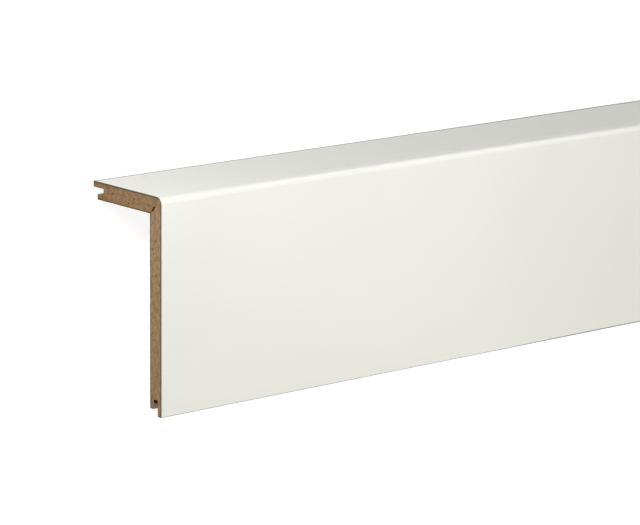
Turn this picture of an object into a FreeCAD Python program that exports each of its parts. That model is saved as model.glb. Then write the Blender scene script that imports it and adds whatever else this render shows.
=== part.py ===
import FreeCAD, Part
import math
import os

# One stock length of an L-shaped skirting board: a wide front leg, a shorter top leg that goes
# back towards the wall, and a white facing wrapped over both outer faces and the rounded corner.
# The section is drawn upright, front face at Y = 0 and lower edge at Z = 0, and is then laid down
# the way the length rests by itself: outer corner up, both grooved edges on the floor.

# Driving dimensions, in millimetres
LENGTH = 2400.0
FRONT_HEIGHT = 120.0
TOP_DEPTH = 60.0
BOARD_THICKNESS = 10.0
FACING_THICKNESS = 0.15
CORNER_RADIUS = 4.0
EDGE_RADIUS = 0.4

# Grooved free edges: an outer lip under the facing, a groove, and a shorter inner lip
OUTER_LIP = 3.4
GROOVE_WIDTH = 3.3
GROOVE_DEPTH = 9.0
INNER_LIP_SETBACK = 3.6
INNER_LIP_RADIUS = 0.7
LIP_TIP_RADIUS = 0.4

# Pocket that the fold leaves in the mitre. Distances run along the mitre from the inner corner, and
# each board has its own deepest point.
POCKET_START = 0.8
POCKET_END = 7.2
FRONT_POCKET_DEEPEST = 4.2
FRONT_POCKET_DEPTH = 0.9
TOP_POCKET_DEEPEST = 5.0
TOP_POCKET_DEPTH = 0.5

# Worked out from the sizes above: a thin inner lip limits its own rounding
GROOVE_INNER_WALL = OUTER_LIP + GROOVE_WIDTH
INNER_LIP = BOARD_THICKNESS - GROOVE_INNER_WALL
LARGEST_LIP_SHARE = 0.45
LIP_ROUNDING = min(INNER_LIP_RADIUS, LARGEST_LIP_SHARE * INNER_LIP)
DIAGONAL = math.sqrt(0.5)

# A leg's section is drawn in its own pair of sizes: "inward" counts from the outer face towards
# the inside of the board, and "along" counts from the outer corner towards the free edge.


def front_leg(inward, along):
    """Places a point of the front leg's section: it hangs down from the outer corner."""
    return FreeCAD.Vector(0, inward, FRONT_HEIGHT - along)


def top_leg(inward, along):
    """Places a point of the top leg's section: it runs back from the outer corner."""
    return FreeCAD.Vector(0, along, FRONT_HEIGHT - inward)


def arc_point(centre, radius, degrees):
    """A point on a round, with the angle turned from the inward direction to the along one."""
    turn = math.radians(degrees)
    return (centre[0] + radius * math.cos(turn), centre[1] + radius * math.sin(turn))


def outline_edges(place, outline):
    """Turns corners (inward, along, radius) of an open outline into lines and tangent arcs."""
    points = [place(inward, along) for inward, along, radius in outline]
    edges = []
    start = points[0]
    for corner in range(1, len(points) - 1):
        here = points[corner]
        radius = outline[corner][2]
        if radius > 0:
            back = (points[corner - 1] - here).normalize()
            ahead = (points[corner + 1] - here).normalize()
            half_angle = back.getAngle(ahead) / 2
            reach = radius / math.tan(half_angle)
            bisector = (back + ahead).normalize()
            middle = here + bisector * (radius / math.sin(half_angle) - radius)
            edges.append(Part.LineSegment(start, here + back * reach).toShape())
            edges.append(Part.Arc(here + back * reach, middle, here + ahead * reach).toShape())
            start = here + ahead * reach
        else:
            edges.append(Part.LineSegment(start, here).toShape())
            start = here
    edges.append(Part.LineSegment(start, points[-1]).toShape())
    return edges


def facing_side(place, offset, leg_length):
    """One leg's half of the facing's line, from the mitre to the free edge, at a depth."""
    corner = (CORNER_RADIUS, CORNER_RADIUS)
    edge = (EDGE_RADIUS, leg_length - EDGE_RADIUS)
    mitre = arc_point(corner, CORNER_RADIUS - offset, 225)
    corner_middle = arc_point(corner, CORNER_RADIUS - offset, 202.5)
    corner_end = arc_point(corner, CORNER_RADIUS - offset, 180)
    edge_start = arc_point(edge, EDGE_RADIUS - offset, 180)
    edge_middle = arc_point(edge, EDGE_RADIUS - offset, 135)
    edge_end = arc_point(edge, EDGE_RADIUS - offset, 90)
    return [
        Part.Arc(place(*mitre), place(*corner_middle), place(*corner_end)).toShape(),
        Part.LineSegment(place(*corner_end), place(*edge_start)).toShape(),
        Part.Arc(place(*edge_start), place(*edge_middle), place(*edge_end)).toShape(),
    ]


def on_mitre(distance, depth):
    """A point at a distance along the mitre from the inner corner, and at a depth beside it."""
    inward = BOARD_THICKNESS - (distance + depth) * DIAGONAL
    along = BOARD_THICKNESS - (distance - depth) * DIAGONAL
    return (inward, along, 0)


def board_section(place, leg_length, pocket_deepest, pocket_depth):
    """The closed section of one leg's board, which fits inside the facing."""
    free_edge = (EDGE_RADIUS, leg_length - FACING_THICKNESS, 0)
    mitre_end = arc_point((CORNER_RADIUS, CORNER_RADIUS), CORNER_RADIUS - FACING_THICKNESS, 225)
    outline = [
        free_edge,
        (EDGE_RADIUS, leg_length, 0),
        (OUTER_LIP, leg_length, LIP_TIP_RADIUS),
        (OUTER_LIP, leg_length - GROOVE_DEPTH, 0),
        (GROOVE_INNER_WALL, leg_length - GROOVE_DEPTH, 0),
        (GROOVE_INNER_WALL, leg_length - INNER_LIP_SETBACK, LIP_ROUNDING),
        (BOARD_THICKNESS, leg_length - INNER_LIP_SETBACK, LIP_ROUNDING),
        (BOARD_THICKNESS, BOARD_THICKNESS, 0),
        on_mitre(POCKET_START, 0),
        on_mitre(pocket_deepest, pocket_depth),
        on_mitre(POCKET_END, 0),
        (*mitre_end, 0),
    ]
    edges = outline_edges(place, outline) + facing_side(place, FACING_THICKNESS, leg_length)
    return Part.Face(Part.Wire(Part.sortEdges(edges)[0]))


def facing_section():
    """The closed section of the wrap, over the top leg, the rounded corner and the front leg."""
    edges = []
    for place, leg_length in ((front_leg, FRONT_HEIGHT), (top_leg, TOP_DEPTH)):
        edges += facing_side(place, 0, leg_length)
        edges += facing_side(place, FACING_THICKNESS, leg_length)
        outer_end = place(EDGE_RADIUS, leg_length)
        inner_end = place(EDGE_RADIUS, leg_length - FACING_THICKNESS)
        edges.append(Part.LineSegment(outer_end, inner_end).toShape())
    return Part.Face(Part.Wire(Part.sortEdges(edges)[0]))


def resting_angle():
    """How far the upright section is turned back to lie on its two free edges.

    The floor line touches the front leg's rounded inner lip and the top leg's outer lip tip,
    so it is the common tangent of those two rounds.
    """
    front_round = front_leg(BOARD_THICKNESS - LIP_ROUNDING,
                            FRONT_HEIGHT - INNER_LIP_SETBACK - LIP_ROUNDING)
    top_round = top_leg(OUTER_LIP - LIP_TIP_RADIUS, TOP_DEPTH - LIP_TIP_RADIUS)
    span = top_round - front_round
    tangent_turn = math.asin((LIP_ROUNDING - LIP_TIP_RADIUS) / span.Length)
    return math.degrees(math.atan2(span.z, span.y) + tangent_turn)


def moved(section, placement):
    """A copy of a section at a placement."""
    copy = section.copy()
    copy.Placement = placement
    return copy


def resting_place(sections):
    """The movement from the upright drawing to the resting length, centred over the origin."""
    turn = FreeCAD.Rotation(FreeCAD.Vector(1, 0, 0), -resting_angle())
    turned = FreeCAD.Placement(FreeCAD.Vector(), turn)
    whole = Part.makeCompound([moved(section, turned) for section in sections])
    box = whole.optimalBoundingBox(False, False)
    return FreeCAD.Placement(FreeCAD.Vector(-LENGTH / 2, -box.Center.y, -box.ZMin), turn)


# The three pieces: two boards that meet in a mitre, and the facing glued over them
sections = {
    "front_board": board_section(front_leg, FRONT_HEIGHT, FRONT_POCKET_DEEPEST, FRONT_POCKET_DEPTH),
    "top_board": board_section(top_leg, TOP_DEPTH, TOP_POCKET_DEEPEST, TOP_POCKET_DEPTH),
    "white_facing": facing_section(),
}
placement = resting_place(sections.values())
os.makedirs("parts", exist_ok=True)
for name, section in sections.items():
    piece = moved(section, placement).extrude(FreeCAD.Vector(LENGTH, 0, 0))
    piece.exportStep("parts/" + name + ".step")
    print(name, piece.ShapeType, piece.isValid(), round(piece.Volume), "mm3", piece.optimalBoundingBox())
print("resting angle", round(resting_angle(), 4), "placement", placement)
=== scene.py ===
import math

import bmesh
import bpy
from mathutils import Matrix, Vector, geometry, noise


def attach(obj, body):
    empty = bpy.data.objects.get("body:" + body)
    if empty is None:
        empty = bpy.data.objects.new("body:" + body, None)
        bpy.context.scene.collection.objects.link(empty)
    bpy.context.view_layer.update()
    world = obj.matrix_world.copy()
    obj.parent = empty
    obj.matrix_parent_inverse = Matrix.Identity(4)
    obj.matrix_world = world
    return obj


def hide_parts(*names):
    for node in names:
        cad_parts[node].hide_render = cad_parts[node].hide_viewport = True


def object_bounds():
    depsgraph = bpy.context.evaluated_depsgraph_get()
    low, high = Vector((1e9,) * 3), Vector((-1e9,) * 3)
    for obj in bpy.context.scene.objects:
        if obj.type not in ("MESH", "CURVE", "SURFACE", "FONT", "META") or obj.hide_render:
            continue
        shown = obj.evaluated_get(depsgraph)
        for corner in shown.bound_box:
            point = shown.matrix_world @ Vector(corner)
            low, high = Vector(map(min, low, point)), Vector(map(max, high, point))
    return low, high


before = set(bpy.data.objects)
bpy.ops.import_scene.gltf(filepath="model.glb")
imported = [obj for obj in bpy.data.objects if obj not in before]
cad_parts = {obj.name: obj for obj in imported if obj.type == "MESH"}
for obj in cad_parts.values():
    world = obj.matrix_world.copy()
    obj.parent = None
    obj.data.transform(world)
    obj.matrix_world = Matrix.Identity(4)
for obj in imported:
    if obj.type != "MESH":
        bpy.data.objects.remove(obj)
cad_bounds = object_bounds()

# The section in millimetres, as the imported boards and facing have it. It is drawn upright: the
# front face at y = 0, the lower edge at z = 0, the top leg running back from the outer corner.
FRONT_HEIGHT = 120.0
TOP_DEPTH = 60.0
BOARD_THICKNESS = 10.0
FACING_THICKNESS = 0.15
CORNER_RADIUS = 4.0
EDGE_RADIUS = 0.4

# The grooved free edges: an outer lip under the facing, a groove, and a shorter inner lip
OUTER_LIP = 3.4
GROOVE_WIDTH = 3.3
GROOVE_INNER_WALL = OUTER_LIP + GROOVE_WIDTH
GROOVE_DEPTH = 9.0
INNER_LIP_SETBACK = 3.6
INNER_LIP_RADIUS = 0.7
LIP_TIP_RADIUS = 0.4

# The pocket in the mitre: where it starts and ends, counted along the mitre from the inner
# corner, and for each board the place and the depth of its deepest point
POCKET_START = 0.8
POCKET_END = 7.2
FRONT_POCKET = (4.2, 0.9)
TOP_POCKET = (5.0, 0.5)

# A millimetre in metres, and the whole length in millimetres
MM = 0.001
LENGTH = (cad_bounds[1][0] - cad_bounds[0][0]) * 1000

# The photograph's view, as angles and a place beside the upright section, in degrees and mm
CAMERA_AZIMUTH = 40.138
CAMERA_ELEVATION = 12.531
CAMERA_ROLL = 0.5315
CAMERA_PLACE = (-1132.06, -1472.55, 498.42)
FOCAL_PIXELS = 3597.2
PICTURE_WIDTH = 640
SENSOR_WIDTH = 36.0
NEAREST_SEEN = 0.05

# How far apart the points of the meshes lie, in millimetres
CAP_SPACING = 0.42
BOARD_SPACING = 0.6
FACING_SPACING = 0.8

# In how many steps each round of the section is drawn
CORNER_STEPS = 10
EDGE_STEPS = 6
TIP_STEPS = 5
LIP_STEPS = 7

# The rings along the length: the first ones from each end, and how their distance grows
WEAR_REACH = 1.5
BOARD_RINGS = (0.0, 0.12, 0.35, 0.8, WEAR_REACH)
FACING_RINGS = (0.0, 1.0)
RING_GROWTH = 1.35
RING_STEP = 1.0

# The end faces' inner points: how far they stray from a grid and keep from the outline, as
# shares of their spacing, and how fine the noise is that moves them, with its fixed seed
CAP_STRAY = 0.5
CAP_CLEARANCE = 0.45
CAP_NOISE_SCALE = 3.7
NOISE_SEED = 7

# What the triangulation keeps (all inside the outline), and when two points are the same one
KEEP_INSIDE = 1
SAME_POINT = 1e-6

# From which angle on an edge between two faces looks sharp, in degrees
SHARP_ANGLE = 50

# The material slots: the first one for every end face, then a board's sides and the facing's
END_SLOT = 0
SANDED_SLOT = 1
MILLED_SLOT = 2
GLUED_SLOT = 3
WRAPPED_SLOT = 1

noise.seed_set(NOISE_SEED)


def front_leg(inward, along):
    """Upright (y, z) of a point of the front leg, from its depth under the outer face."""
    return (inward, FRONT_HEIGHT - along)


def top_leg(inward, along):
    """Upright (y, z) of a point of the top leg, from its depth under the outer face."""
    return (along, FRONT_HEIGHT - inward)


def upright(y, z):
    """Upright (y, z) of a point that is given that way already."""
    return (y, z)


# The centres of the two rounds that the resting length stands on
FRONT_FOOT = front_leg(BOARD_THICKNESS - INNER_LIP_RADIUS,
                       FRONT_HEIGHT - INNER_LIP_SETBACK - INNER_LIP_RADIUS)
TOP_FOOT = top_leg(OUTER_LIP - LIP_TIP_RADIUS, TOP_DEPTH - LIP_TIP_RADIUS)


def resting_turn():
    """The angle by which the upright section leans back to lie on its two free edges."""
    span_y = TOP_FOOT[0] - FRONT_FOOT[0]
    span_z = TOP_FOOT[1] - FRONT_FOOT[1]
    radii = INNER_LIP_RADIUS - LIP_TIP_RADIUS
    return math.atan2(span_z, span_y) + math.asin(radii / math.hypot(span_y, span_z))


# The lean's cosine and sine, and the shift that centres the resting section on the floor
TURN = resting_turn()
COS, SIN = math.cos(TURN), math.sin(TURN)
SHIFT_Y = -(TOP_DEPTH * COS + FRONT_HEIGHT * SIN) / 2
SHIFT_Z = INNER_LIP_RADIUS - (FRONT_FOOT[1] * COS - FRONT_FOOT[0] * SIN)


def laid(x, y, z):
    """The place in metres of an upright point in millimetres, x counted from the near end."""
    return Vector((x - LENGTH / 2, y * COS + z * SIN + SHIFT_Y, z * COS - y * SIN + SHIFT_Z)) * MM


def laid_direction(x, y, z):
    """An upright direction as it is on the resting length."""
    return Vector((x, y * COS + z * SIN, z * COS - y * SIN))


# Section outlines


def arc(centre, radius, start, end, steps):
    """Points of a round in (inward, along), with the angle turned from inward to along."""
    points = []
    for step in range(steps + 1):
        turn = math.radians(start + (end - start) * step / steps)
        points.append((centre[0] + radius * math.cos(turn), centre[1] + radius * math.sin(turn)))
    return points


def spaced(points, spacing):
    """The same line with points added so that no straight run is longer than the spacing."""
    out = [points[0]]
    for here, ahead in zip(points, points[1:]):
        run = math.hypot(ahead[0] - here[0], ahead[1] - here[1])
        parts = max(1, math.ceil(run / spacing))
        for part in range(1, parts + 1):
            out.append((here[0] + (ahead[0] - here[0]) * part / parts,
                        here[1] + (ahead[1] - here[1]) * part / parts))
    return out


def facing_line(offset, leg_length):
    """One leg's half of the facing, from the mitre to the free edge, at a depth."""
    corner = (CORNER_RADIUS, CORNER_RADIUS)
    edge = (EDGE_RADIUS, leg_length - EDGE_RADIUS)
    return (arc(corner, CORNER_RADIUS - offset, 225, 180, CORNER_STEPS)
            + arc(edge, EDGE_RADIUS - offset, 180, 90, EDGE_STEPS))


def on_mitre(distance, depth):
    """A point at a distance along the mitre from the inner corner, and at a depth beside it."""
    diagonal = math.sqrt(0.5)
    return (BOARD_THICKNESS - (distance + depth) * diagonal,
            BOARD_THICKNESS - (distance - depth) * diagonal)


def board_outline(leg_length, pocket):
    """The board's closed outline in (inward, along), starting at the outer corner."""
    tip = (OUTER_LIP - LIP_TIP_RADIUS, leg_length - LIP_TIP_RADIUS)
    lip_along = leg_length - INNER_LIP_SETBACK - INNER_LIP_RADIUS
    lip_outside = (GROOVE_INNER_WALL + INNER_LIP_RADIUS, lip_along)
    lip_inside = (BOARD_THICKNESS - INNER_LIP_RADIUS, lip_along)
    points = facing_line(FACING_THICKNESS, leg_length)
    points.append((EDGE_RADIUS, leg_length))
    points += arc(tip, LIP_TIP_RADIUS, 90, 0, TIP_STEPS)
    points.append((OUTER_LIP, leg_length - GROOVE_DEPTH))
    points.append((GROOVE_INNER_WALL, leg_length - GROOVE_DEPTH))
    points += arc(lip_outside, INNER_LIP_RADIUS, 180, 90, LIP_STEPS)
    points += arc(lip_inside, INNER_LIP_RADIUS, 90, 0, LIP_STEPS)
    points.append((BOARD_THICKNESS, BOARD_THICKNESS))
    points.append(on_mitre(POCKET_START, 0))
    points.append(on_mitre(*pocket))
    points.append(on_mitre(POCKET_END, 0))
    return points + points[:1]


# Meshes


def end_stations(first_rings):
    """Where the rings lie along the length: close together at both ends, wide in the middle."""
    near = list(first_rings)
    while near[-1] < LENGTH / 2:
        near.append(min(near[-1] * RING_GROWTH + RING_STEP, LENGTH / 2))
    return near[:-1] + [LENGTH / 2] + [LENGTH - x for x in reversed(near[:-1])]


def inside(point, outline):
    """Whether a point lies in a closed outline."""
    x, y = point
    odd = False
    for (x0, y0), (x1, y1) in zip(outline, outline[1:] + outline[:1]):
        if (y0 > y) != (y1 > y) and x < x0 + (y - y0) * (x1 - x0) / (y1 - y0):
            odd = not odd
    return odd


def distance_to(point, outline):
    """The distance from a point to the nearest of an outline's points."""
    return min(math.hypot(point[0] - x, point[1] - y) for x, y in outline)


def cap_points(outline, spacing):
    """A jittered grid of points inside an outline, for an end face with a sawn surface."""
    xs = [x for x, y in outline]
    ys = [y for x, y in outline]
    found = []
    for row in range(int((max(ys) - min(ys)) / spacing) + 1):
        for column in range(int((max(xs) - min(xs)) / spacing) + 1):
            x = min(xs) + (column + 0.5) * spacing
            y = min(ys) + (row + 0.5) * spacing
            stray = noise.noise_vector(Vector((x, y, 0.0)) * CAP_NOISE_SCALE) * spacing * CAP_STRAY
            point = (x + stray.x, y + stray.y)
            if inside(point, outline) and distance_to(point, outline) > spacing * CAP_CLEARANCE:
                found.append(point)
    return found


def inward_normals(outline):
    """The unit normals of a closed outline's points, towards its inside."""
    count = len(outline)
    area = sum(a[0] * b[1] - b[0] * a[1] for a, b in zip(outline, outline[1:] + outline[:1]))
    side = math.copysign(1, area)
    normals = []
    for index in range(count):
        before, after = outline[index - 1], outline[(index + 1) % count]
        tangent = Vector((after[0] - before[0], after[1] - before[1])).normalized()
        normals.append(Vector((-tangent.y, tangent.x)) * side)
    return normals


def ring_vertices(place, outline, stations, worn, recess):
    """The points of every ring: worn inwards along the outline, and set back at both ends."""
    vertices = []
    normals = inward_normals(outline)
    for station in stations:
        from_end = min(station, LENGTH - station)
        for (inward, along), normal in zip(outline, normals):
            depth = worn(from_end, (inward, along))
            back = recess((inward, along)) if from_end == 0 else 0
            x = station + back if station < LENGTH / 2 else station - back
            y, z = place(inward + normal.x * depth, along + normal.y * depth)
            vertices.append(laid(x, y, z))
    return vertices


def side_faces(outline, ring_count, slot_of):
    """The faces between the rings as point numbers, and the material slot of each."""
    count = len(outline)
    faces = []
    slots = []
    for index in range(count):
        after = (index + 1) % count
        middle = ((outline[index][0] + outline[after][0]) / 2,
                  (outline[index][1] + outline[after][1]) / 2)
        for ring in range(ring_count - 1):
            faces.append((ring * count + index, ring * count + after,
                          (ring + 1) * count + after, (ring + 1) * count + index))
            slots.append(slot_of(middle))
    return faces, slots


def end_triangles(outline, inner):
    """The triangles of an end face, over the outline's points followed by the inner ones."""
    count = len(outline)
    flat = [Vector(point) for point in outline + inner]
    loop = [(index, (index + 1) % count) for index in range(count)]
    made = geometry.delaunay_2d_cdt(flat, loop, [], KEEP_INSIDE, SAME_POINT)
    if len(made[0]) != len(flat):
        raise ValueError("the end face's points changed")
    return made[2]


def swept_mesh(name, place, outline, stations, inner, worn, recess, slot_of):
    """A closed mesh of an outline carried along the length, with inner points in its end faces.

    worn(x, point) says how far a ring's point lies inside the outline, recess(point) how deep
    an end face's point lies behind the end plane, and slot_of(point) which material a side
    face has; the end faces have the first one. Sizes are in millimetres.
    """
    count = len(outline)
    vertices = ring_vertices(place, outline, stations, worn, recess)
    faces, slots = side_faces(outline, len(stations), slot_of)
    triangles = end_triangles(outline, inner)
    for end, ring_start in ((0, 0), (LENGTH, (len(stations) - 1) * count)):
        inner_start = len(vertices) - count
        for point in inner:
            back = recess(point)
            vertices.append(laid(back if end == 0 else end - back, *place(*point)))
        for triangle in triangles:
            corners = [(ring_start if i < count else inner_start) + i for i in triangle]
            faces.append(corners if end == 0 else corners[::-1])
            slots.append(END_SLOT)
    mesh = bpy.data.meshes.new(name)
    mesh.from_pydata(vertices, [], faces)
    mesh.polygons.foreach_set("material_index", slots)
    if mesh.validate():
        raise ValueError(name + ": the mesh has bad faces")
    return mesh


def turn_faces_outwards(mesh):
    """Turns every face of a closed mesh outwards."""
    work = bmesh.new()
    work.from_mesh(mesh)
    bmesh.ops.recalc_face_normals(work, faces=work.faces)
    work.to_mesh(mesh)
    work.free()


def add_piece(name, mesh, materials, node):
    """Links a mesh as a piece that stands for one CAD node."""
    turn_faces_outwards(mesh)
    piece = bpy.data.objects.new(name, mesh)
    bpy.context.scene.collection.objects.link(piece)
    for material in materials:
        mesh.materials.append(material)
    mesh.shade_smooth()
    mesh.set_sharp_from_angle(angle=math.radians(SHARP_ANGLE))
    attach(piece, "root")
    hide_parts(node)
    return piece


# Materials


def srgb(red, green, blue):
    """A colour given as it looks on screen, 0 to 255, as Blender's linear colour."""
    linear = []
    for value in (red, green, blue):
        share = value / 255
        linear.append(share / 12.92 if share <= 0.04045 else ((share + 0.055) / 1.055) ** 2.4)
    return (*linear, 1.0)


# The fibreboard's colours as they look in plain light: its sawn core, then its marks and edges
SAWN_DARK = srgb(138, 110, 80)
SAWN_LIGHT = srgb(172, 145, 108)
SAWN_RED = srgb(152, 108, 70)
SAWN_DEEP = srgb(98, 70, 46)
SAWN_OLIVE = srgb(148, 124, 78)
SAWN_PALE = srgb(200, 173, 137)
SKIN_COLOUR = srgb(95, 87, 67)
RIM_COLOUR = srgb(62, 50, 38)
BARK_BIT = srgb(74, 46, 28)
GLUE_LINE = srgb(104, 66, 40)
# The glue's own colour is dark; these are lightened with painted light for the dim pocket
GLUE_DARK_WITH_PAINTED_LIGHT = srgb(120, 78, 52)
GLUE_PALE_WITH_PAINTED_LIGHT = srgb(178, 123, 85)
# Painted shade in the groove's deep end, and painted light on the rest of its inner wall
GROOVE_ROOF_PAINTED_SHADE = srgb(36, 25, 17)
GROOVE_WALL_PAINTED_LIGHT = srgb(240, 212, 172)
SANDED_DARK = srgb(158, 129, 97)
SANDED_LIGHT = srgb(174, 146, 112)
SANDED_PALE = srgb(200, 175, 141)

# How each board's sawn end differs: its tint, how mottled it is, and how clearly it is cracked
FRONT_END = {"tint": srgb(255, 255, 255), "mottle": 0.75, "crack": 0.0}
TOP_END = {"tint": srgb(240, 234, 226), "mottle": 1.2, "crack": 0.35}

# The facing's colours as they look in plain light
WRAP_DARK = srgb(239, 239, 230)
WRAP_LIGHT = srgb(242, 242, 234)
# The folds' grey is painted shade, and it is deeper farther from each cut
WRAP_FOLD_PAINTED_SHADE = srgb(182, 182, 176)
WRAP_FOLD_DEEPER_PAINTED_SHADE = srgb(148, 148, 141)
WRAP_CUT_DARK = srgb(108, 94, 74)
WRAP_CUT_LIGHT = srgb(146, 132, 110)

# How rough each surface is, how much smoother its marks are, and how strongly it mirrors
SAWN_ROUGHNESS = 0.93
SANDED_ROUGHNESS = 0.72
MILLED_ROUGHNESS = 0.92
GLUE_ROUGHNESS = 0.45
WRAP_ROUGHNESS = 0.37
CUT_ROUGHNESS = 0.8
SKIN_POLISH = 0.2
ROUND_POLISH = 0.2
BOARD_SPECULAR = 0.25
WRAP_SPECULAR = 0.38

# The height that a bump of 1 stands for, in metres
BUMP_HEIGHT = 0.0001

# Sizes below are in millimetres. A pair has the place where a mark starts to show and the place
# where it is full. The margin keeps a test for one side of a wall clear of the wall itself.
WALL_MARGIN = 0.1

# The dense skins under both faces of a board, the dark rim at each face, the darker lip tips
OUTER_SKIN = (1.45, 0.6525)
INNER_SKIN = (1.16, 0.435)
RIM = (0.6, 0.24)
LIP_TIP = (1.0, 0.4)
SKIN_STRENGTH = 0.92
SKIN_RAGGEDNESS = 0.3

# The hair crack: where it starts (inward, along), its lean and end, and how its sides fade
CRACK_START = (4.9, 5.2)
CRACK_START_FADE = (0.3, -0.2)
CRACK_END = (1.6, 2.8)
CRACK_LEAN = -0.5
CRACK_SIDES = (0.6, 0.15)

# The glued mitre: its line's sides, where it darkens on the way in, and how clearly it shows
SEAM_SIDES = (0.6, 0.1)
SEAM_DARKENS = (1.5, 4.5)
SEAM_OUTSIDE = 0.08
SEAM_INSIDE = 0.48

# The groove: where its painted roof shade and the painted light on its inner wall reach, from its
# bottom, and the edges of its inner wall
ROOF_PAINTED_SHADE_REACH = (2.8, 1.68)
WALL_PAINTED_LIGHT_REACH = (2.8, 3.64)
INNER_WALL_START = 0.5
INNER_WALL_END = (0.45, 0.1)
CUTTER_PITCH = 1.3
CUTTER_WAVER = 0.9

# The facing: painted shade on its folds over both free edges, deeper and wider past a stretch at
# each end, the browned cut
FRONT_FOLD_REACH = 0.55
TOP_FOLD_REACH = 3.0
FOLD_FULL = 0.7
FAR_SHADE_WIDENING = 0.3
FAR_SHADE_REACH = (220.0, 310.0)
CUT_BROWN = (0.364, 0.182)
CUT_RAGGEDNESS = 0.234
ROUND_SHINE = (CORNER_RADIUS * 1.35, CORNER_RADIUS * 0.9)


class Nodes:
    """A material's or world's node tree, with short calls to add and join nodes."""

    def __init__(self, owner):
        owner.use_nodes = True
        self.tree = owner.node_tree
        self.tree.nodes.clear()

    def add(self, kind, values=None, **settings):
        """Adds a node, sets its settings, and sets or links its inputs."""
        node = self.tree.nodes.new("ShaderNode" + kind)
        for name, value in settings.items():
            setattr(node, name, value)
        for name, value in (values or {}).items():
            socket = node.inputs[name]
            if isinstance(value, bpy.types.NodeSocket):
                self.tree.links.new(value, socket)
            else:
                socket.default_value = value
        return node

    def math(self, operation, first, second=0.0):
        """The result of a Math node."""
        return self.add("Math", {0: first, 1: second}, operation=operation).outputs[0]

    def mix(self, factor, first, second, blend="MIX"):
        """The result of mixing two colours."""
        node = self.add("Mix", {0: factor, 6: first, 7: second}, data_type="RGBA",
                        blend_type=blend)
        return node.outputs[2]

    def lay(self, colour, over, mask=None, strength=1.0):
        """A colour with another laid over it at a strength, everywhere or where a mask is 1."""
        factor = strength if mask is None else self.math("MULTIPLY", mask, strength)
        return self.mix(factor, colour, over)

    def noise(self, vector, scale, detail=2.0, roughness=0.5):
        """The value of a Noise Texture node."""
        values = {"Vector": vector, "Scale": scale, "Detail": detail, "Roughness": roughness}
        return self.add("TexNoise", values).outputs["Fac"]

    def band(self, value, start, full):
        """0 before a start, 1 past where it is full and smooth between, rising or falling."""
        values = {"Value": value, "From Min": start, "From Max": full}
        node = self.add("MapRange", values, interpolation_type="SMOOTHSTEP")
        return node.outputs["Result"]

    def total(self, *parts, base=0.0):
        """The sum of a base and of values that are each given with a weight."""
        result = base
        for value, weight in parts:
            result = self.math("ADD", self.math("MULTIPLY", value, weight), result)
        return result


def leg_directions(place):
    """The directions of a leg's length, inward and along, on the resting length."""
    start_y, start_z = place(0, 0)
    directions = [laid_direction(1, 0, 0)]
    for step in ((1, 0), (0, 1)):
        y, z = place(*step)
        directions.append(laid_direction(0, y - start_y, z - start_z))
    return directions


def section_position(nodes, place):
    """A leg's (length, inward, along) in millimetres at a shaded point, as three values."""
    where = nodes.add("TexCoord").outputs["Object"]
    origin = laid(0, *place(0, 0))
    position = []
    for axis in leg_directions(place):
        dot = nodes.add("VectorMath", {0: where, 1: axis}, operation="DOT_PRODUCT")
        metres = nodes.math("SUBTRACT", dot.outputs["Value"], origin.dot(axis))
        position.append(nodes.math("MULTIPLY", metres, 1 / MM))
    return position


def stretched(nodes, position, factors):
    """The position in a leg with its three parts scaled, so that a texture runs one way."""
    parts = [nodes.math("MULTIPLY", part, factor) for part, factor in zip(position, factors)]
    return nodes.add("CombineXYZ", {0: parts[0], 1: parts[1], 2: parts[2]}).outputs[0]


def grain(nodes, position, stretch, scale, detail, roughness):
    """Noise over a leg, whose length, inward and along parts are scaled first."""
    return nodes.noise(stretched(nodes, position, stretch), scale, detail, roughness)


def specks(nodes, position, stretch, scale, size, share):
    """1 inside sparse ragged specks and 0 outside: their spacing, size and share of the cells."""
    edge_fineness = 4.0
    raggedness = 1.2
    least_size = 0.35
    size_range = 0.9
    softness = 0.55
    vector = stretched(nodes, position, stretch)
    cells = nodes.add("TexVoronoi", {"Vector": vector, "Scale": scale, "Randomness": 1.0})
    chances = nodes.add("SeparateColor", {0: cells.outputs["Color"]}).outputs
    edge = nodes.noise(vector, scale * edge_fineness, detail=2.0, roughness=0.6)
    edge = nodes.math("MULTIPLY", edge, size * raggedness)
    distance = nodes.math("ADD", cells.outputs["Distance"], edge)
    distance = nodes.math("SUBTRACT", distance, size * raggedness / 2)
    own_size = nodes.math("ADD", nodes.math("MULTIPLY", chances[1], size_range), least_size)
    spot = nodes.band(nodes.math("DIVIDE", distance, own_size), size, size * softness)
    return nodes.math("MULTIPLY", spot, nodes.math("LESS_THAN", chances[0], share))


def under_faces(nodes, inward, outer, inner):
    """1 close under a board's outer and inner face and 0 in its core, from two pairs of depths."""
    by_outer = nodes.band(inward, *outer)
    by_inner = nodes.band(inward, BOARD_THICKNESS - inner[0], BOARD_THICKNESS - inner[1])
    return nodes.math("MAXIMUM", by_outer, by_inner)


def darker_lip_tips(nodes, inward, along, leg_length):
    """1 beside the tips of both lips, where the sawn end is darker, and 0 elsewhere."""
    inner_end = leg_length - INNER_LIP_SETBACK
    outer_tip = nodes.band(along, leg_length - LIP_TIP[0], leg_length - LIP_TIP[1])
    inner_tip = nodes.band(along, inner_end - LIP_TIP[0], inner_end - LIP_TIP[1])
    on_inner_lip = nodes.math("GREATER_THAN", inward, OUTER_LIP + WALL_MARGIN)
    return nodes.math("MAXIMUM", outer_tip, nodes.math("MULTIPLY", inner_tip, on_inner_lip))


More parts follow.
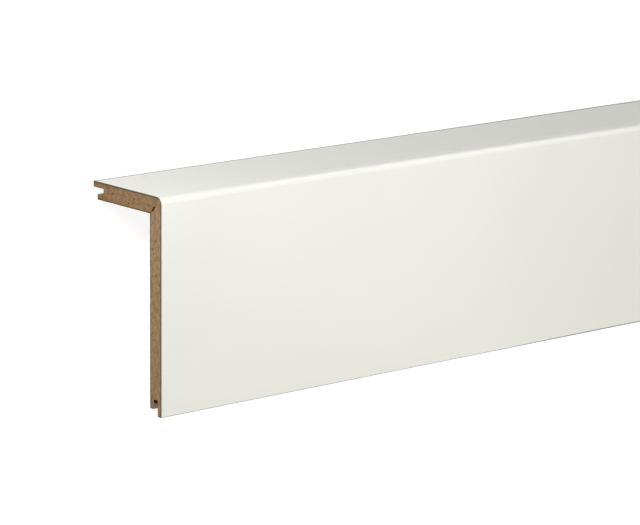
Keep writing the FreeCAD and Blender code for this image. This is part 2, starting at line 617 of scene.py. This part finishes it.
def fold_crack(nodes, inward, along):
    """1 in the hair crack that goes on from the pocket towards the outer face, 0 elsewhere."""
    start_inward, start_along = CRACK_START
    lean = nodes.math("MULTIPLY", nodes.math("SUBTRACT", inward, start_inward), CRACK_LEAN)
    middle = nodes.math("ADD", lean, start_along)
    beside = nodes.math("ABSOLUTE", nodes.math("SUBTRACT", along, middle))
    past_pocket = nodes.band(inward, start_inward + CRACK_START_FADE[0],
                             start_inward + CRACK_START_FADE[1])
    line = nodes.math("MULTIPLY", nodes.band(beside, *CRACK_SIDES), past_pocket)
    return nodes.math("MULTIPLY", line, nodes.band(inward, *CRACK_END))


def glue_seam(nodes, inward, along):
    """How clearly the glued mitre shows: a thin line, faint outside and darker by the pocket."""
    off_mitre = nodes.math("ABSOLUTE", nodes.math("SUBTRACT", along, inward))
    by_pocket = nodes.band(inward, *SEAM_DARKENS)
    strength = nodes.math("MULTIPLY", by_pocket, SEAM_INSIDE - SEAM_OUTSIDE)
    strength = nodes.math("ADD", strength, SEAM_OUTSIDE)
    return nodes.math("MULTIPLY", nodes.band(off_mitre, *SEAM_SIDES), strength)


def finish_board(nodes, colour, height, roughness, bump_strength):
    """Joins a fibreboard surface's colour, height and roughness to its shader."""
    bump = nodes.add("Bump", {"Strength": bump_strength, "Distance": BUMP_HEIGHT,
                              "Height": height})
    shader = nodes.add("BsdfPrincipled", {
        "Base Color": colour, "Roughness": roughness, "Specular IOR Level": BOARD_SPECULAR,
        "Normal": bump.outputs[0]})
    nodes.add("OutputMaterial", {"Surface": shader.outputs[0]})


def sawn_core(nodes, position, tufts, fibres, mottle):
    """The mottled colour of the pressed fibres that the saw lays open."""
    clumps = grain(nodes, position, (1.0, 1.0, 0.75), scale=0.42, detail=3.0, roughness=0.62)
    patches = grain(nodes, position, (1.0, 0.9, 1.0), scale=0.7, detail=2.0, roughness=0.5)
    colour = nodes.mix(nodes.band(clumps, 0.38, 0.62), SAWN_DARK, SAWN_LIGHT)
    colour = nodes.lay(colour, SAWN_RED, nodes.band(patches, 0.5, 0.64), strength=0.75 * mottle)
    colour = nodes.lay(colour, SAWN_OLIVE, nodes.band(patches, 0.47, 0.36), strength=0.5 * mottle)
    colour = nodes.lay(colour, SAWN_DEEP, nodes.band(tufts, 0.5, 0.28), strength=0.72 * mottle)
    colour = nodes.lay(colour, SAWN_PALE, nodes.band(tufts, 0.55, 0.75), strength=0.6)
    return nodes.mix(nodes.band(fibres, 0.3, 0.75),
                     nodes.lay(colour, SAWN_DEEP, strength=0.16),
                     nodes.lay(colour, SAWN_PALE, strength=0.18))


def sawn_fibreboard(name, place, leg_length, tint, mottle, crack):
    """The sawn end: mottled pressed fibres, dark bits, denser skins and the glued mitre line."""
    material = bpy.data.materials.new(name)
    nodes = Nodes(material)
    position = section_position(nodes, place)
    inward, along = position[1:]
    tufts = grain(nodes, position, (1.0, 1.3, 0.8), scale=1.5, detail=3.0, roughness=0.6)
    fibres = grain(nodes, position, (1.0, 3.0, 0.9), scale=3.2, detail=3.0, roughness=0.65)
    colour = sawn_core(nodes, position, tufts, fibres, mottle)
    bits = specks(nodes, position, (1.0, 1.0, 1.0), scale=0.4, size=0.22, share=0.4)
    colour = nodes.lay(colour, BARK_BIT, bits, strength=0.8)
    pale_bits = specks(nodes, position, (1.0, 0.6, 1.7), scale=0.8, size=0.16, share=0.25)
    colour = nodes.lay(colour, SAWN_PALE, pale_bits, strength=0.5)
    uneven = nodes.math("ADD", inward, nodes.math("MULTIPLY", tufts, SKIN_RAGGEDNESS))
    uneven = nodes.math("SUBTRACT", uneven, SKIN_RAGGEDNESS / 2)
    dense = nodes.math("MAXIMUM", under_faces(nodes, uneven, OUTER_SKIN, INNER_SKIN),
                       darker_lip_tips(nodes, inward, along, leg_length))
    skins = nodes.math("MULTIPLY", dense, SKIN_STRENGTH)
    colour = nodes.lay(colour, SKIN_COLOUR, skins)
    colour = nodes.lay(colour, RIM_COLOUR, under_faces(nodes, inward, RIM, RIM), strength=0.6)
    colour = nodes.lay(colour, GLUE_LINE, glue_seam(nodes, inward, along))
    colour = nodes.lay(colour, GLUE_LINE, fold_crack(nodes, inward, along), strength=crack)
    colour = nodes.mix(1.0, colour, tint, "MULTIPLY")
    height = nodes.total((fibres, 0.9), (tufts, 1.0), (bits, -1.0))
    roughness = nodes.total((skins, -SKIN_POLISH), base=SAWN_ROUGHNESS)
    finish_board(nodes, colour, height, roughness, bump_strength=0.7)
    return material


def sanded_fibreboard(name, place):
    """The sanded back face: paler, with short fibres that lie flat and faint sanding lines."""
    material = bpy.data.materials.new(name)
    nodes = Nodes(material)
    position = section_position(nodes, place)
    clouds = grain(nodes, position, (0.25, 1.0, 1.0), scale=0.05, detail=4.0, roughness=0.55)
    fibres = grain(nodes, position, (0.35, 1.0, 1.0), scale=1.6, detail=4.0, roughness=0.65)
    crossing = grain(nodes, position, (1.2, 1.0, 0.4), scale=1.4, detail=3.0, roughness=0.6)
    lines = grain(nodes, position, (0.012, 1.0, 1.0), scale=3.5, detail=2.0, roughness=0.5)
    colour = nodes.mix(nodes.band(clouds, 0.3, 0.7), SANDED_DARK, SANDED_LIGHT)
    colour = nodes.mix(nodes.band(fibres, 0.36, 0.68),
                       nodes.lay(colour, SAWN_DEEP, strength=0.2),
                       nodes.lay(colour, SANDED_PALE, strength=0.25))
    colour = nodes.lay(colour, SANDED_PALE, nodes.band(crossing, 0.62, 0.76), strength=0.35)
    colour = nodes.lay(colour, SAWN_DEEP, nodes.band(lines, 0.5, 0.72), strength=0.18)
    bits = specks(nodes, position, (0.7, 1.0, 1.0), scale=0.2, size=0.12, share=0.35)
    colour = nodes.lay(colour, BARK_BIT, bits, strength=0.6)
    height = nodes.total((fibres, 0.5), (lines, 0.6))
    roughness = nodes.total((fibres, 0.14), base=SANDED_ROUGHNESS)
    finish_board(nodes, colour, height, roughness, bump_strength=0.45)
    return material


def cutter_marks(nodes, length, tufts):
    """A slightly wavering ripple along the length, from 0 to 1, one for each cutter's turn."""
    waver = nodes.math("MULTIPLY", tufts, CUTTER_WAVER)
    phase = nodes.math("MULTIPLY", nodes.math("ADD", length, waver), 2 * math.pi / CUTTER_PITCH)
    ripple = nodes.math("MULTIPLY", nodes.math("SINE", phase), 0.5)
    return nodes.math("ADD", ripple, 0.5)


def inner_wall(nodes, inward):
    """1 on the groove's inner wall, 0 on its outer wall and on the inner lip's rounded tip."""
    past_outer_wall = nodes.band(inward, OUTER_LIP + INNER_WALL_START,
                                 GROOVE_INNER_WALL - INNER_WALL_START)
    before_tip = nodes.band(inward, GROOVE_INNER_WALL + INNER_WALL_END[0],
                            GROOVE_INNER_WALL + INNER_WALL_END[1])
    return nodes.math("MULTIPLY", past_outer_wall, before_tip)


def milled_fibreboard(name, place, leg_length):
    """The milled grooves and lips: fuzzy core fibres and cutter marks.

    Painted shade darkens the groove at its bottom, and painted light makes the rest of its inner
    wall pale.
    """
    material = bpy.data.materials.new(name)
    nodes = Nodes(material)
    position = section_position(nodes, place)
    length, inward, along = position
    tufts = grain(nodes, position, (0.5, 1.0, 1.0), scale=1.1, detail=4.0, roughness=0.65)
    fuzz = grain(nodes, position, (0.4, 1.6, 1.6), scale=2.8, detail=3.0, roughness=0.65)
    marks = cutter_marks(nodes, length, tufts)
    colour = nodes.mix(nodes.band(tufts, 0.32, 0.68), SAWN_DARK, SAWN_LIGHT)
    colour = nodes.mix(nodes.band(fuzz, 0.35, 0.72),
                       nodes.lay(colour, SAWN_DEEP, strength=0.3),
                       nodes.lay(colour, SAWN_PALE, strength=0.25))
    colour = nodes.lay(colour, SAWN_DEEP, marks, strength=0.14)
    colour = nodes.lay(colour, SKIN_COLOUR, under_faces(nodes, inward, OUTER_SKIN, INNER_SKIN),
                       strength=0.5)
    bottom = leg_length - GROOVE_DEPTH
    uneven = nodes.math("ADD", along, tufts)
    # Painted light makes the inner wall pale towards the mouth, and painted shade darkens the
    # groove's bottom
    wall_painted_light = nodes.band(uneven, bottom + WALL_PAINTED_LIGHT_REACH[0], bottom + WALL_PAINTED_LIGHT_REACH[1])
    colour = nodes.lay(colour, GROOVE_WALL_PAINTED_LIGHT,
                       nodes.math("MULTIPLY", wall_painted_light, inner_wall(nodes, inward)))
    roof_painted_shade = nodes.band(uneven, bottom + ROOF_PAINTED_SHADE_REACH[0], bottom + ROOF_PAINTED_SHADE_REACH[1])
    in_groove = nodes.math("GREATER_THAN", inward, OUTER_LIP - WALL_MARGIN)
    colour = nodes.lay(colour, GROOVE_ROOF_PAINTED_SHADE, nodes.math("MULTIPLY", roof_painted_shade, in_groove),
                       strength=0.85)
    height = nodes.total((fuzz, 0.9), (marks, 0.35))
    finish_board(nodes, colour, height, MILLED_ROUGHNESS, bump_strength=0.6)
    return material


def glue_with_painted_light(name):
    """The mitre and its pocket: fibreboard soaked with dried dark glue, a little shiny, its colours
    lightened with painted light for the deep pocket.
    """
    material = bpy.data.materials.new(name)
    nodes = Nodes(material)
    where = nodes.add("TexCoord").outputs["Object"]
    runs = nodes.noise(where, scale=700.0, detail=4.0, roughness=0.6)
    colour = nodes.mix(nodes.band(runs, 0.35, 0.68), GLUE_DARK_WITH_PAINTED_LIGHT, GLUE_PALE_WITH_PAINTED_LIGHT)
    roughness = nodes.total((runs, 0.3), base=GLUE_ROUGHNESS)
    finish_board(nodes, colour, runs, roughness, bump_strength=0.8)
    return material


def fold_shade_mask(nodes, far_shade):
    """1 where the facing is folded over a free edge and painted with shade, 0 elsewhere. The far
    shade widens the band.
    """
    folds = []
    growth = nodes.math("MULTIPLY", far_shade, FAR_SHADE_WIDENING)
    for place, leg_length, reach in ((front_leg, FRONT_HEIGHT, FRONT_FOLD_REACH),
                                     (top_leg, TOP_DEPTH, TOP_FOLD_REACH)):
        along = nodes.math("ADD", section_position(nodes, place)[2], growth)
        folds.append(nodes.band(along, leg_length - reach, leg_length - reach * FOLD_FULL))
    return nodes.math("MAXIMUM", folds[0], folds[1])


def browned_cut(nodes, where, from_cut):
    """1 beside the near and far cut, where the saw has rubbed the facing brown, 0 elsewhere."""
    ragged = nodes.noise(where, scale=1100.0, detail=3.0, roughness=0.6)
    edge = nodes.math("ADD", from_cut, nodes.math("MULTIPLY", ragged, CUT_RAGGEDNESS))
    return nodes.band(edge, *CUT_BROWN)


def white_wrap():
    """The satin off-white facing: a fine skin texture, faint rubbed streaks, glossier round."""
    material = bpy.data.materials.new("white_wrap")
    nodes = Nodes(material)
    where = nodes.add("TexCoord").outputs["Object"]
    drawn = nodes.add("VectorMath", {0: where, 1: (0.06, 1.0, 1.0)}, operation="MULTIPLY")
    clouds = nodes.noise(where, scale=9.0, detail=3.0, roughness=0.5)
    streaks = nodes.noise(drawn.outputs[0], scale=420.0, detail=3.0, roughness=0.6)
    pores = nodes.noise(where, scale=1500.0, detail=2.0, roughness=0.5)
    waves = nodes.noise(where, scale=320.0, detail=2.0, roughness=0.5)
    length, inward, along = section_position(nodes, front_leg)
    from_cut = nodes.math("MINIMUM", length, nodes.math("SUBTRACT", LENGTH, length))
    # Painted shade: the folds turn grey, deeper and wider past the first stretch from each cut
    far_shade = nodes.band(from_cut, *FAR_SHADE_REACH)
    fold_shade_colour = nodes.mix(far_shade, WRAP_FOLD_PAINTED_SHADE, WRAP_FOLD_DEEPER_PAINTED_SHADE)
    colour = nodes.mix(nodes.band(clouds, 0.3, 0.7), WRAP_DARK, WRAP_LIGHT)
    colour = nodes.lay(colour, fold_shade_colour, fold_shade_mask(nodes, far_shade))
    colour = nodes.lay(colour, WRAP_CUT_DARK, browned_cut(nodes, where, from_cut), strength=0.6)
    on_round = nodes.band(nodes.math("ADD", inward, along), *ROUND_SHINE)
    rubbed = nodes.band(streaks, 0.55, 0.8)
    roughness = nodes.total((clouds, 0.05), (rubbed, 0.05), (on_round, -ROUND_POLISH),
                            base=WRAP_ROUGHNESS)
    height = nodes.total((pores, 0.35), (waves, 1.0))
    bump = nodes.add("Bump", {"Strength": 0.1, "Distance": BUMP_HEIGHT, "Height": height})
    shader = nodes.add("BsdfPrincipled", {
        "Base Color": colour, "Roughness": roughness, "Specular IOR Level": WRAP_SPECULAR,
        "Normal": bump.outputs[0]})
    nodes.add("OutputMaterial", {"Surface": shader.outputs[0]})
    return material


def cut_wrap():
    """The facing's cut edge: the paper of the foil, a little browned by the glue."""
    material = bpy.data.materials.new("cut_wrap")
    nodes = Nodes(material)
    where = nodes.add("TexCoord").outputs["Object"]
    stain = nodes.noise(where, scale=500.0, detail=3.0, roughness=0.6)
    colour = nodes.mix(nodes.band(stain, 0.35, 0.7), WRAP_CUT_DARK, WRAP_CUT_LIGHT)
    shader = nodes.add("BsdfPrincipled", {"Base Color": colour, "Roughness": CUT_ROUGHNESS})
    nodes.add("OutputMaterial", {"Surface": shader.outputs[0]})
    return material


# Wear of the sawn ends

# How deep the edges wear and chip, in millimetres, and how far from the facing they are bare
EDGE_WEAR = 0.07
CHIP_DEPTH = 0.5
BARE_FROM = 0.6

# How deep the saw tears the core, in millimetres: as shares, at a face and more each millimetre
COARSE_TEAR = 0.03
FINE_TEAR = 0.05
TORN_DEPTH = 0.4
TEAR_AT_FACE = 0.3
TEAR_GROWTH = 0.5

# The blade's round marks: their depth and pitch, and where the blade's centre lay
BLADE_MARK = 0.012
BLADE_PITCH = 1.7
BLADE_OUTSIDE = 110.0
BLADE_ALONG = 30.0

# How deep the facing's cut edge is fuzzy and nicked
NICK_FUZZ = 0.02
NICK_DEPTH = 0.35


def unevenness(point, layer, scale):
    """Smooth noise from 0 to 1 at a point of the section. Each layer has its own pattern."""
    return 0.5 + 0.5 * noise.noise(Vector((*point, layer)) * scale)


def rare_hills(point, layer, scale, threshold, shift=(0.0, 0.0, 0.0)):
    """0 over most of the section, with hills where such noise is over a threshold."""
    here = Vector((*point, layer)) * scale + Vector(shift)
    return max(0.0, noise.noise(here) - threshold)


def edge_wear(x, point):
    """How far a board's edge is worn in beside the cut, at its bare edges only."""
    if x > WEAR_REACH:
        return 0.0
    fine = unevenness(point, layer=0.0, scale=1.9)
    chip = rare_hills(point, layer=7.0, scale=0.55, threshold=0.25)
    bare = min(1.0, max(0.0, point[0] - BARE_FROM))
    return bare * (EDGE_WEAR * fine + CHIP_DEPTH * chip) * (1 - x / WEAR_REACH) ** 2


def sawn_depth(point):
    """How deep a point of the sawn end lies behind the end plane.

    The core tears out more than the dense skins, and the blade leaves shallow arcs.
    """
    inward, along = point
    coarse = unevenness(point, layer=3.0, scale=0.7)
    fine = unevenness(point, layer=3.0, scale=2.1)
    torn = rare_hills(point, layer=3.0, scale=1.1, threshold=0.38, shift=(9.0, 4.0, 0.0))
    swing = math.hypot(inward + BLADE_OUTSIDE, along - BLADE_ALONG)
    arcs = 0.5 + 0.5 * math.sin(2 * math.pi * swing / BLADE_PITCH)
    from_face = min(inward, BOARD_THICKNESS - inward)
    core = min(1.0, TEAR_AT_FACE + TEAR_GROWTH * max(0.0, from_face))
    return core * (COARSE_TEAR * coarse + FINE_TEAR * fine + TORN_DEPTH * torn) + BLADE_MARK * arcs


def no_wear(x, point):
    """No wear, at any distance from the end and at any point."""
    return 0.0


def wrap_nicks(point):
    """How deep the facing's cut edge is nicked back from the end plane."""
    fine = unevenness(point, layer=11.0, scale=0.9)
    nick = rare_hills(point, layer=5.0, scale=0.35, threshold=0.3)
    return NICK_FUZZ * fine + NICK_DEPTH * nick


# The pieces


def board_slot(leg_length):
    """Says which of a board's materials a side face has, from its place in the section."""
    margin = 0.01
    mitre_margin = 0.5
    lip_start = leg_length - INNER_LIP_SETBACK - INNER_LIP_RADIUS - margin
    mitre_end = BOARD_THICKNESS + mitre_margin

    def slot_of(point):
        inward, along = point
        if inward > BOARD_THICKNESS - margin:
            return MILLED_SLOT if along > lip_start else SANDED_SLOT
        on_mitre_side = inward > CORNER_RADIUS / 2 and along < mitre_end
        return GLUED_SLOT if on_mitre_side else MILLED_SLOT
    return slot_of


def make_board(name, place, leg_length, pocket, end_looks):
    """One board as a fine mesh in the place of its CAD node."""
    outline = spaced(board_outline(leg_length, pocket), BOARD_SPACING)[:-1]
    mesh = swept_mesh(name, place, outline, end_stations(BOARD_RINGS),
                      cap_points(outline, CAP_SPACING), edge_wear, sawn_depth,
                      board_slot(leg_length))
    materials = [sawn_fibreboard(name + "_sawn", place, leg_length, **end_looks),
                 sanded_fibreboard(name + "_sanded", place),
                 milled_fibreboard(name + "_milled", place, leg_length),
                 glue_with_painted_light(name + "_glue")]
    return add_piece(name + "_fibre", mesh, materials, name)


def facing_outline():
    """The facing's closed outline in upright (y, z): out along its face, back along the boards."""
    points = []
    for offset, turned in ((0, False), (FACING_THICKNESS, True)):
        front = [front_leg(*p) for p in spaced(facing_line(offset, FRONT_HEIGHT), FACING_SPACING)]
        top = [top_leg(*p) for p in spaced(facing_line(offset, TOP_DEPTH), FACING_SPACING)]
        side = front[::-1] + top[1:]
        points += side[::-1] if turned else side
    return points


def make_facing():
    """The wrap as one thin closed sheet over both legs and the rounded corner."""
    mesh = swept_mesh("white_facing", upright, facing_outline(), end_stations(FACING_RINGS), [],
                      no_wear, wrap_nicks, lambda point: WRAPPED_SLOT)
    return add_piece("white_facing_wrap", mesh, [cut_wrap(), white_wrap()], "white_facing")


make_board("front_board", front_leg, FRONT_HEIGHT, FRONT_POCKET, FRONT_END)
make_board("top_board", top_leg, TOP_DEPTH, TOP_POCKET, TOP_END)
make_facing()


# Floor, light and camera, in metres and watts

FLOOR_REACH = 8.0
FLOOR_COLOUR = (0.8, 0.8, 0.8, 1)
SHADED_COLOUR = (0.4, 0.4, 0.4, 1)
FLOOR_GLOW = 0.9
WHITE = (1, 1, 1, 1)
WORLD_LIGHT = 0.1


def seen_directly(nodes):
    """1 for rays from the camera, in gloss and through clear things, 0 for the light that falls."""
    path = nodes.add("LightPath")
    some = nodes.math("MAXIMUM", path.outputs["Is Camera Ray"], path.outputs["Is Glossy Ray"])
    return nodes.math("MAXIMUM", some, path.outputs["Is Transmission Ray"])


def make_floor():
    """A plain pale floor that looks white and keeps the object's shadow."""
    material = bpy.data.materials.new("pale_floor")
    nodes = Nodes(material)
    plain = nodes.add("BsdfDiffuse", {"Color": FLOOR_COLOUR})
    shaded = nodes.add("BsdfDiffuse", {"Color": SHADED_COLOUR})
    glow = nodes.add("Emission", {"Color": WHITE, "Strength": FLOOR_GLOW})
    looks = nodes.add("AddShader", {0: shaded.outputs[0], 1: glow.outputs[0]})
    mixed = nodes.add("MixShader", {0: seen_directly(nodes), 1: plain.outputs[0],
                                    2: looks.outputs[0]})
    nodes.add("OutputMaterial", {"Surface": mixed.outputs[0]})
    corners = [(-FLOOR_REACH, -FLOOR_REACH, 0), (FLOOR_REACH, -FLOOR_REACH, 0),
               (FLOOR_REACH, FLOOR_REACH, 0), (-FLOOR_REACH, FLOOR_REACH, 0)]
    mesh = bpy.data.meshes.new("floor")
    mesh.from_pydata(corners, [], [(0, 1, 2, 3)])
    mesh.materials.append(material)
    floor = bpy.data.objects.new("floor", mesh)
    bpy.context.scene.collection.objects.link(floor)


def make_world(strength):
    """Even light from all around, which looks white where it is seen."""
    world = bpy.data.worlds.new("studio")
    bpy.context.scene.world = world
    nodes = Nodes(world)
    soft = nodes.add("Background", {"Color": WHITE, "Strength": strength})
    white = nodes.add("Background", {"Color": WHITE, "Strength": 1.0})
    mixed = nodes.add("MixShader", {0: seen_directly(nodes), 1: soft.outputs[0],
                                    2: white.outputs[0]})
    nodes.add("OutputWorld", {"Surface": mixed.outputs[0]})


def add_lamp(name, place, target, size, power):
    """A soft rectangular lamp turned towards a point."""
    data = bpy.data.lights.new(name, "AREA")
    data.shape = "RECTANGLE"
    data.size, data.size_y = size
    data.energy = power
    lamp = bpy.data.objects.new(name, data)
    lamp.location = place
    aim = Vector(target) - Vector(place)
    lamp.rotation_euler = aim.to_track_quat("-Z", "Y").to_euler()
    bpy.context.scene.collection.objects.link(lamp)


def make_camera():
    """The camera at the photograph's view of the section, carried to the resting length."""
    azimuth, elevation = math.radians(CAMERA_AZIMUTH), math.radians(CAMERA_ELEVATION)
    ahead = Vector((math.sin(azimuth) * math.cos(elevation),
                    math.cos(azimuth) * math.cos(elevation), -math.sin(elevation)))
    right = Vector((math.cos(azimuth), -math.sin(azimuth), 0))
    right = Matrix.Rotation(math.radians(-CAMERA_ROLL), 3, ahead) @ right
    up = right.cross(ahead)
    turned = Matrix([laid_direction(*axis) for axis in (right, up, -ahead)]).transposed()
    data = bpy.data.cameras.new("camera")
    data.sensor_width = SENSOR_WIDTH
    data.lens = FOCAL_PIXELS * SENSOR_WIDTH / PICTURE_WIDTH
    data.clip_start = NEAREST_SEEN
    camera = bpy.data.objects.new("camera", data)
    camera.matrix_world = Matrix.Translation(laid(*CAMERA_PLACE)) @ turned.to_4x4()
    bpy.context.scene.collection.objects.link(camera)
    bpy.context.scene.camera = camera


make_floor()
make_world(WORLD_LIGHT)

# A large lamp over the far half, and two behind the length that are turned to its near end
add_lamp("soft_box", (0.8, -0.388, 1.489), target=(0.8, 0, 0.04), size=(1.4, 1.4), power=8.64)
add_lamp("far_behind", (0.71, 1.57, 1.27), target=(-1.0, 0.04, 0.05), size=(0.6, 0.6), power=7.46)
add_lamp("high_behind", (0.81, 0.67, 1.80), target=(-1.0, 0.04, 0.05), size=(0.6, 0.6), power=6.19)

# Small lamps round the near end: over the front face, the rounded corner and the top face, low
# in front, and beside the sawn end
add_lamp("over_front", (-1.1, -0.366, 0.862), target=(-1.1, 0, 0.04), size=(0.35, 0.35), power=2.74)
add_lamp("over_round", (-1.05, -0.039, 0.488), target=(-1.05, 0, 0.04), size=(0.3, 0.1), power=0.654)
add_lamp("over_end_top", (-1.42, 0.20, 0.25), target=(-1.18, 0.05, 0.04), size=(0.12, 0.08),
         power=0.643)
add_lamp("low_front", (-0.80, -0.26, 0.12), target=(-0.85, -0.05, 0.01), size=(0.3, 0.08),
         power=0.046)
add_lamp("beside_end", (-1.5, 0.03, 0.03), target=(-1.2, 0.01, 0.03), size=(0.06, 0.04), power=0.191)

make_camera()
bpy.context.scene.view_settings.view_transform = "Standard"
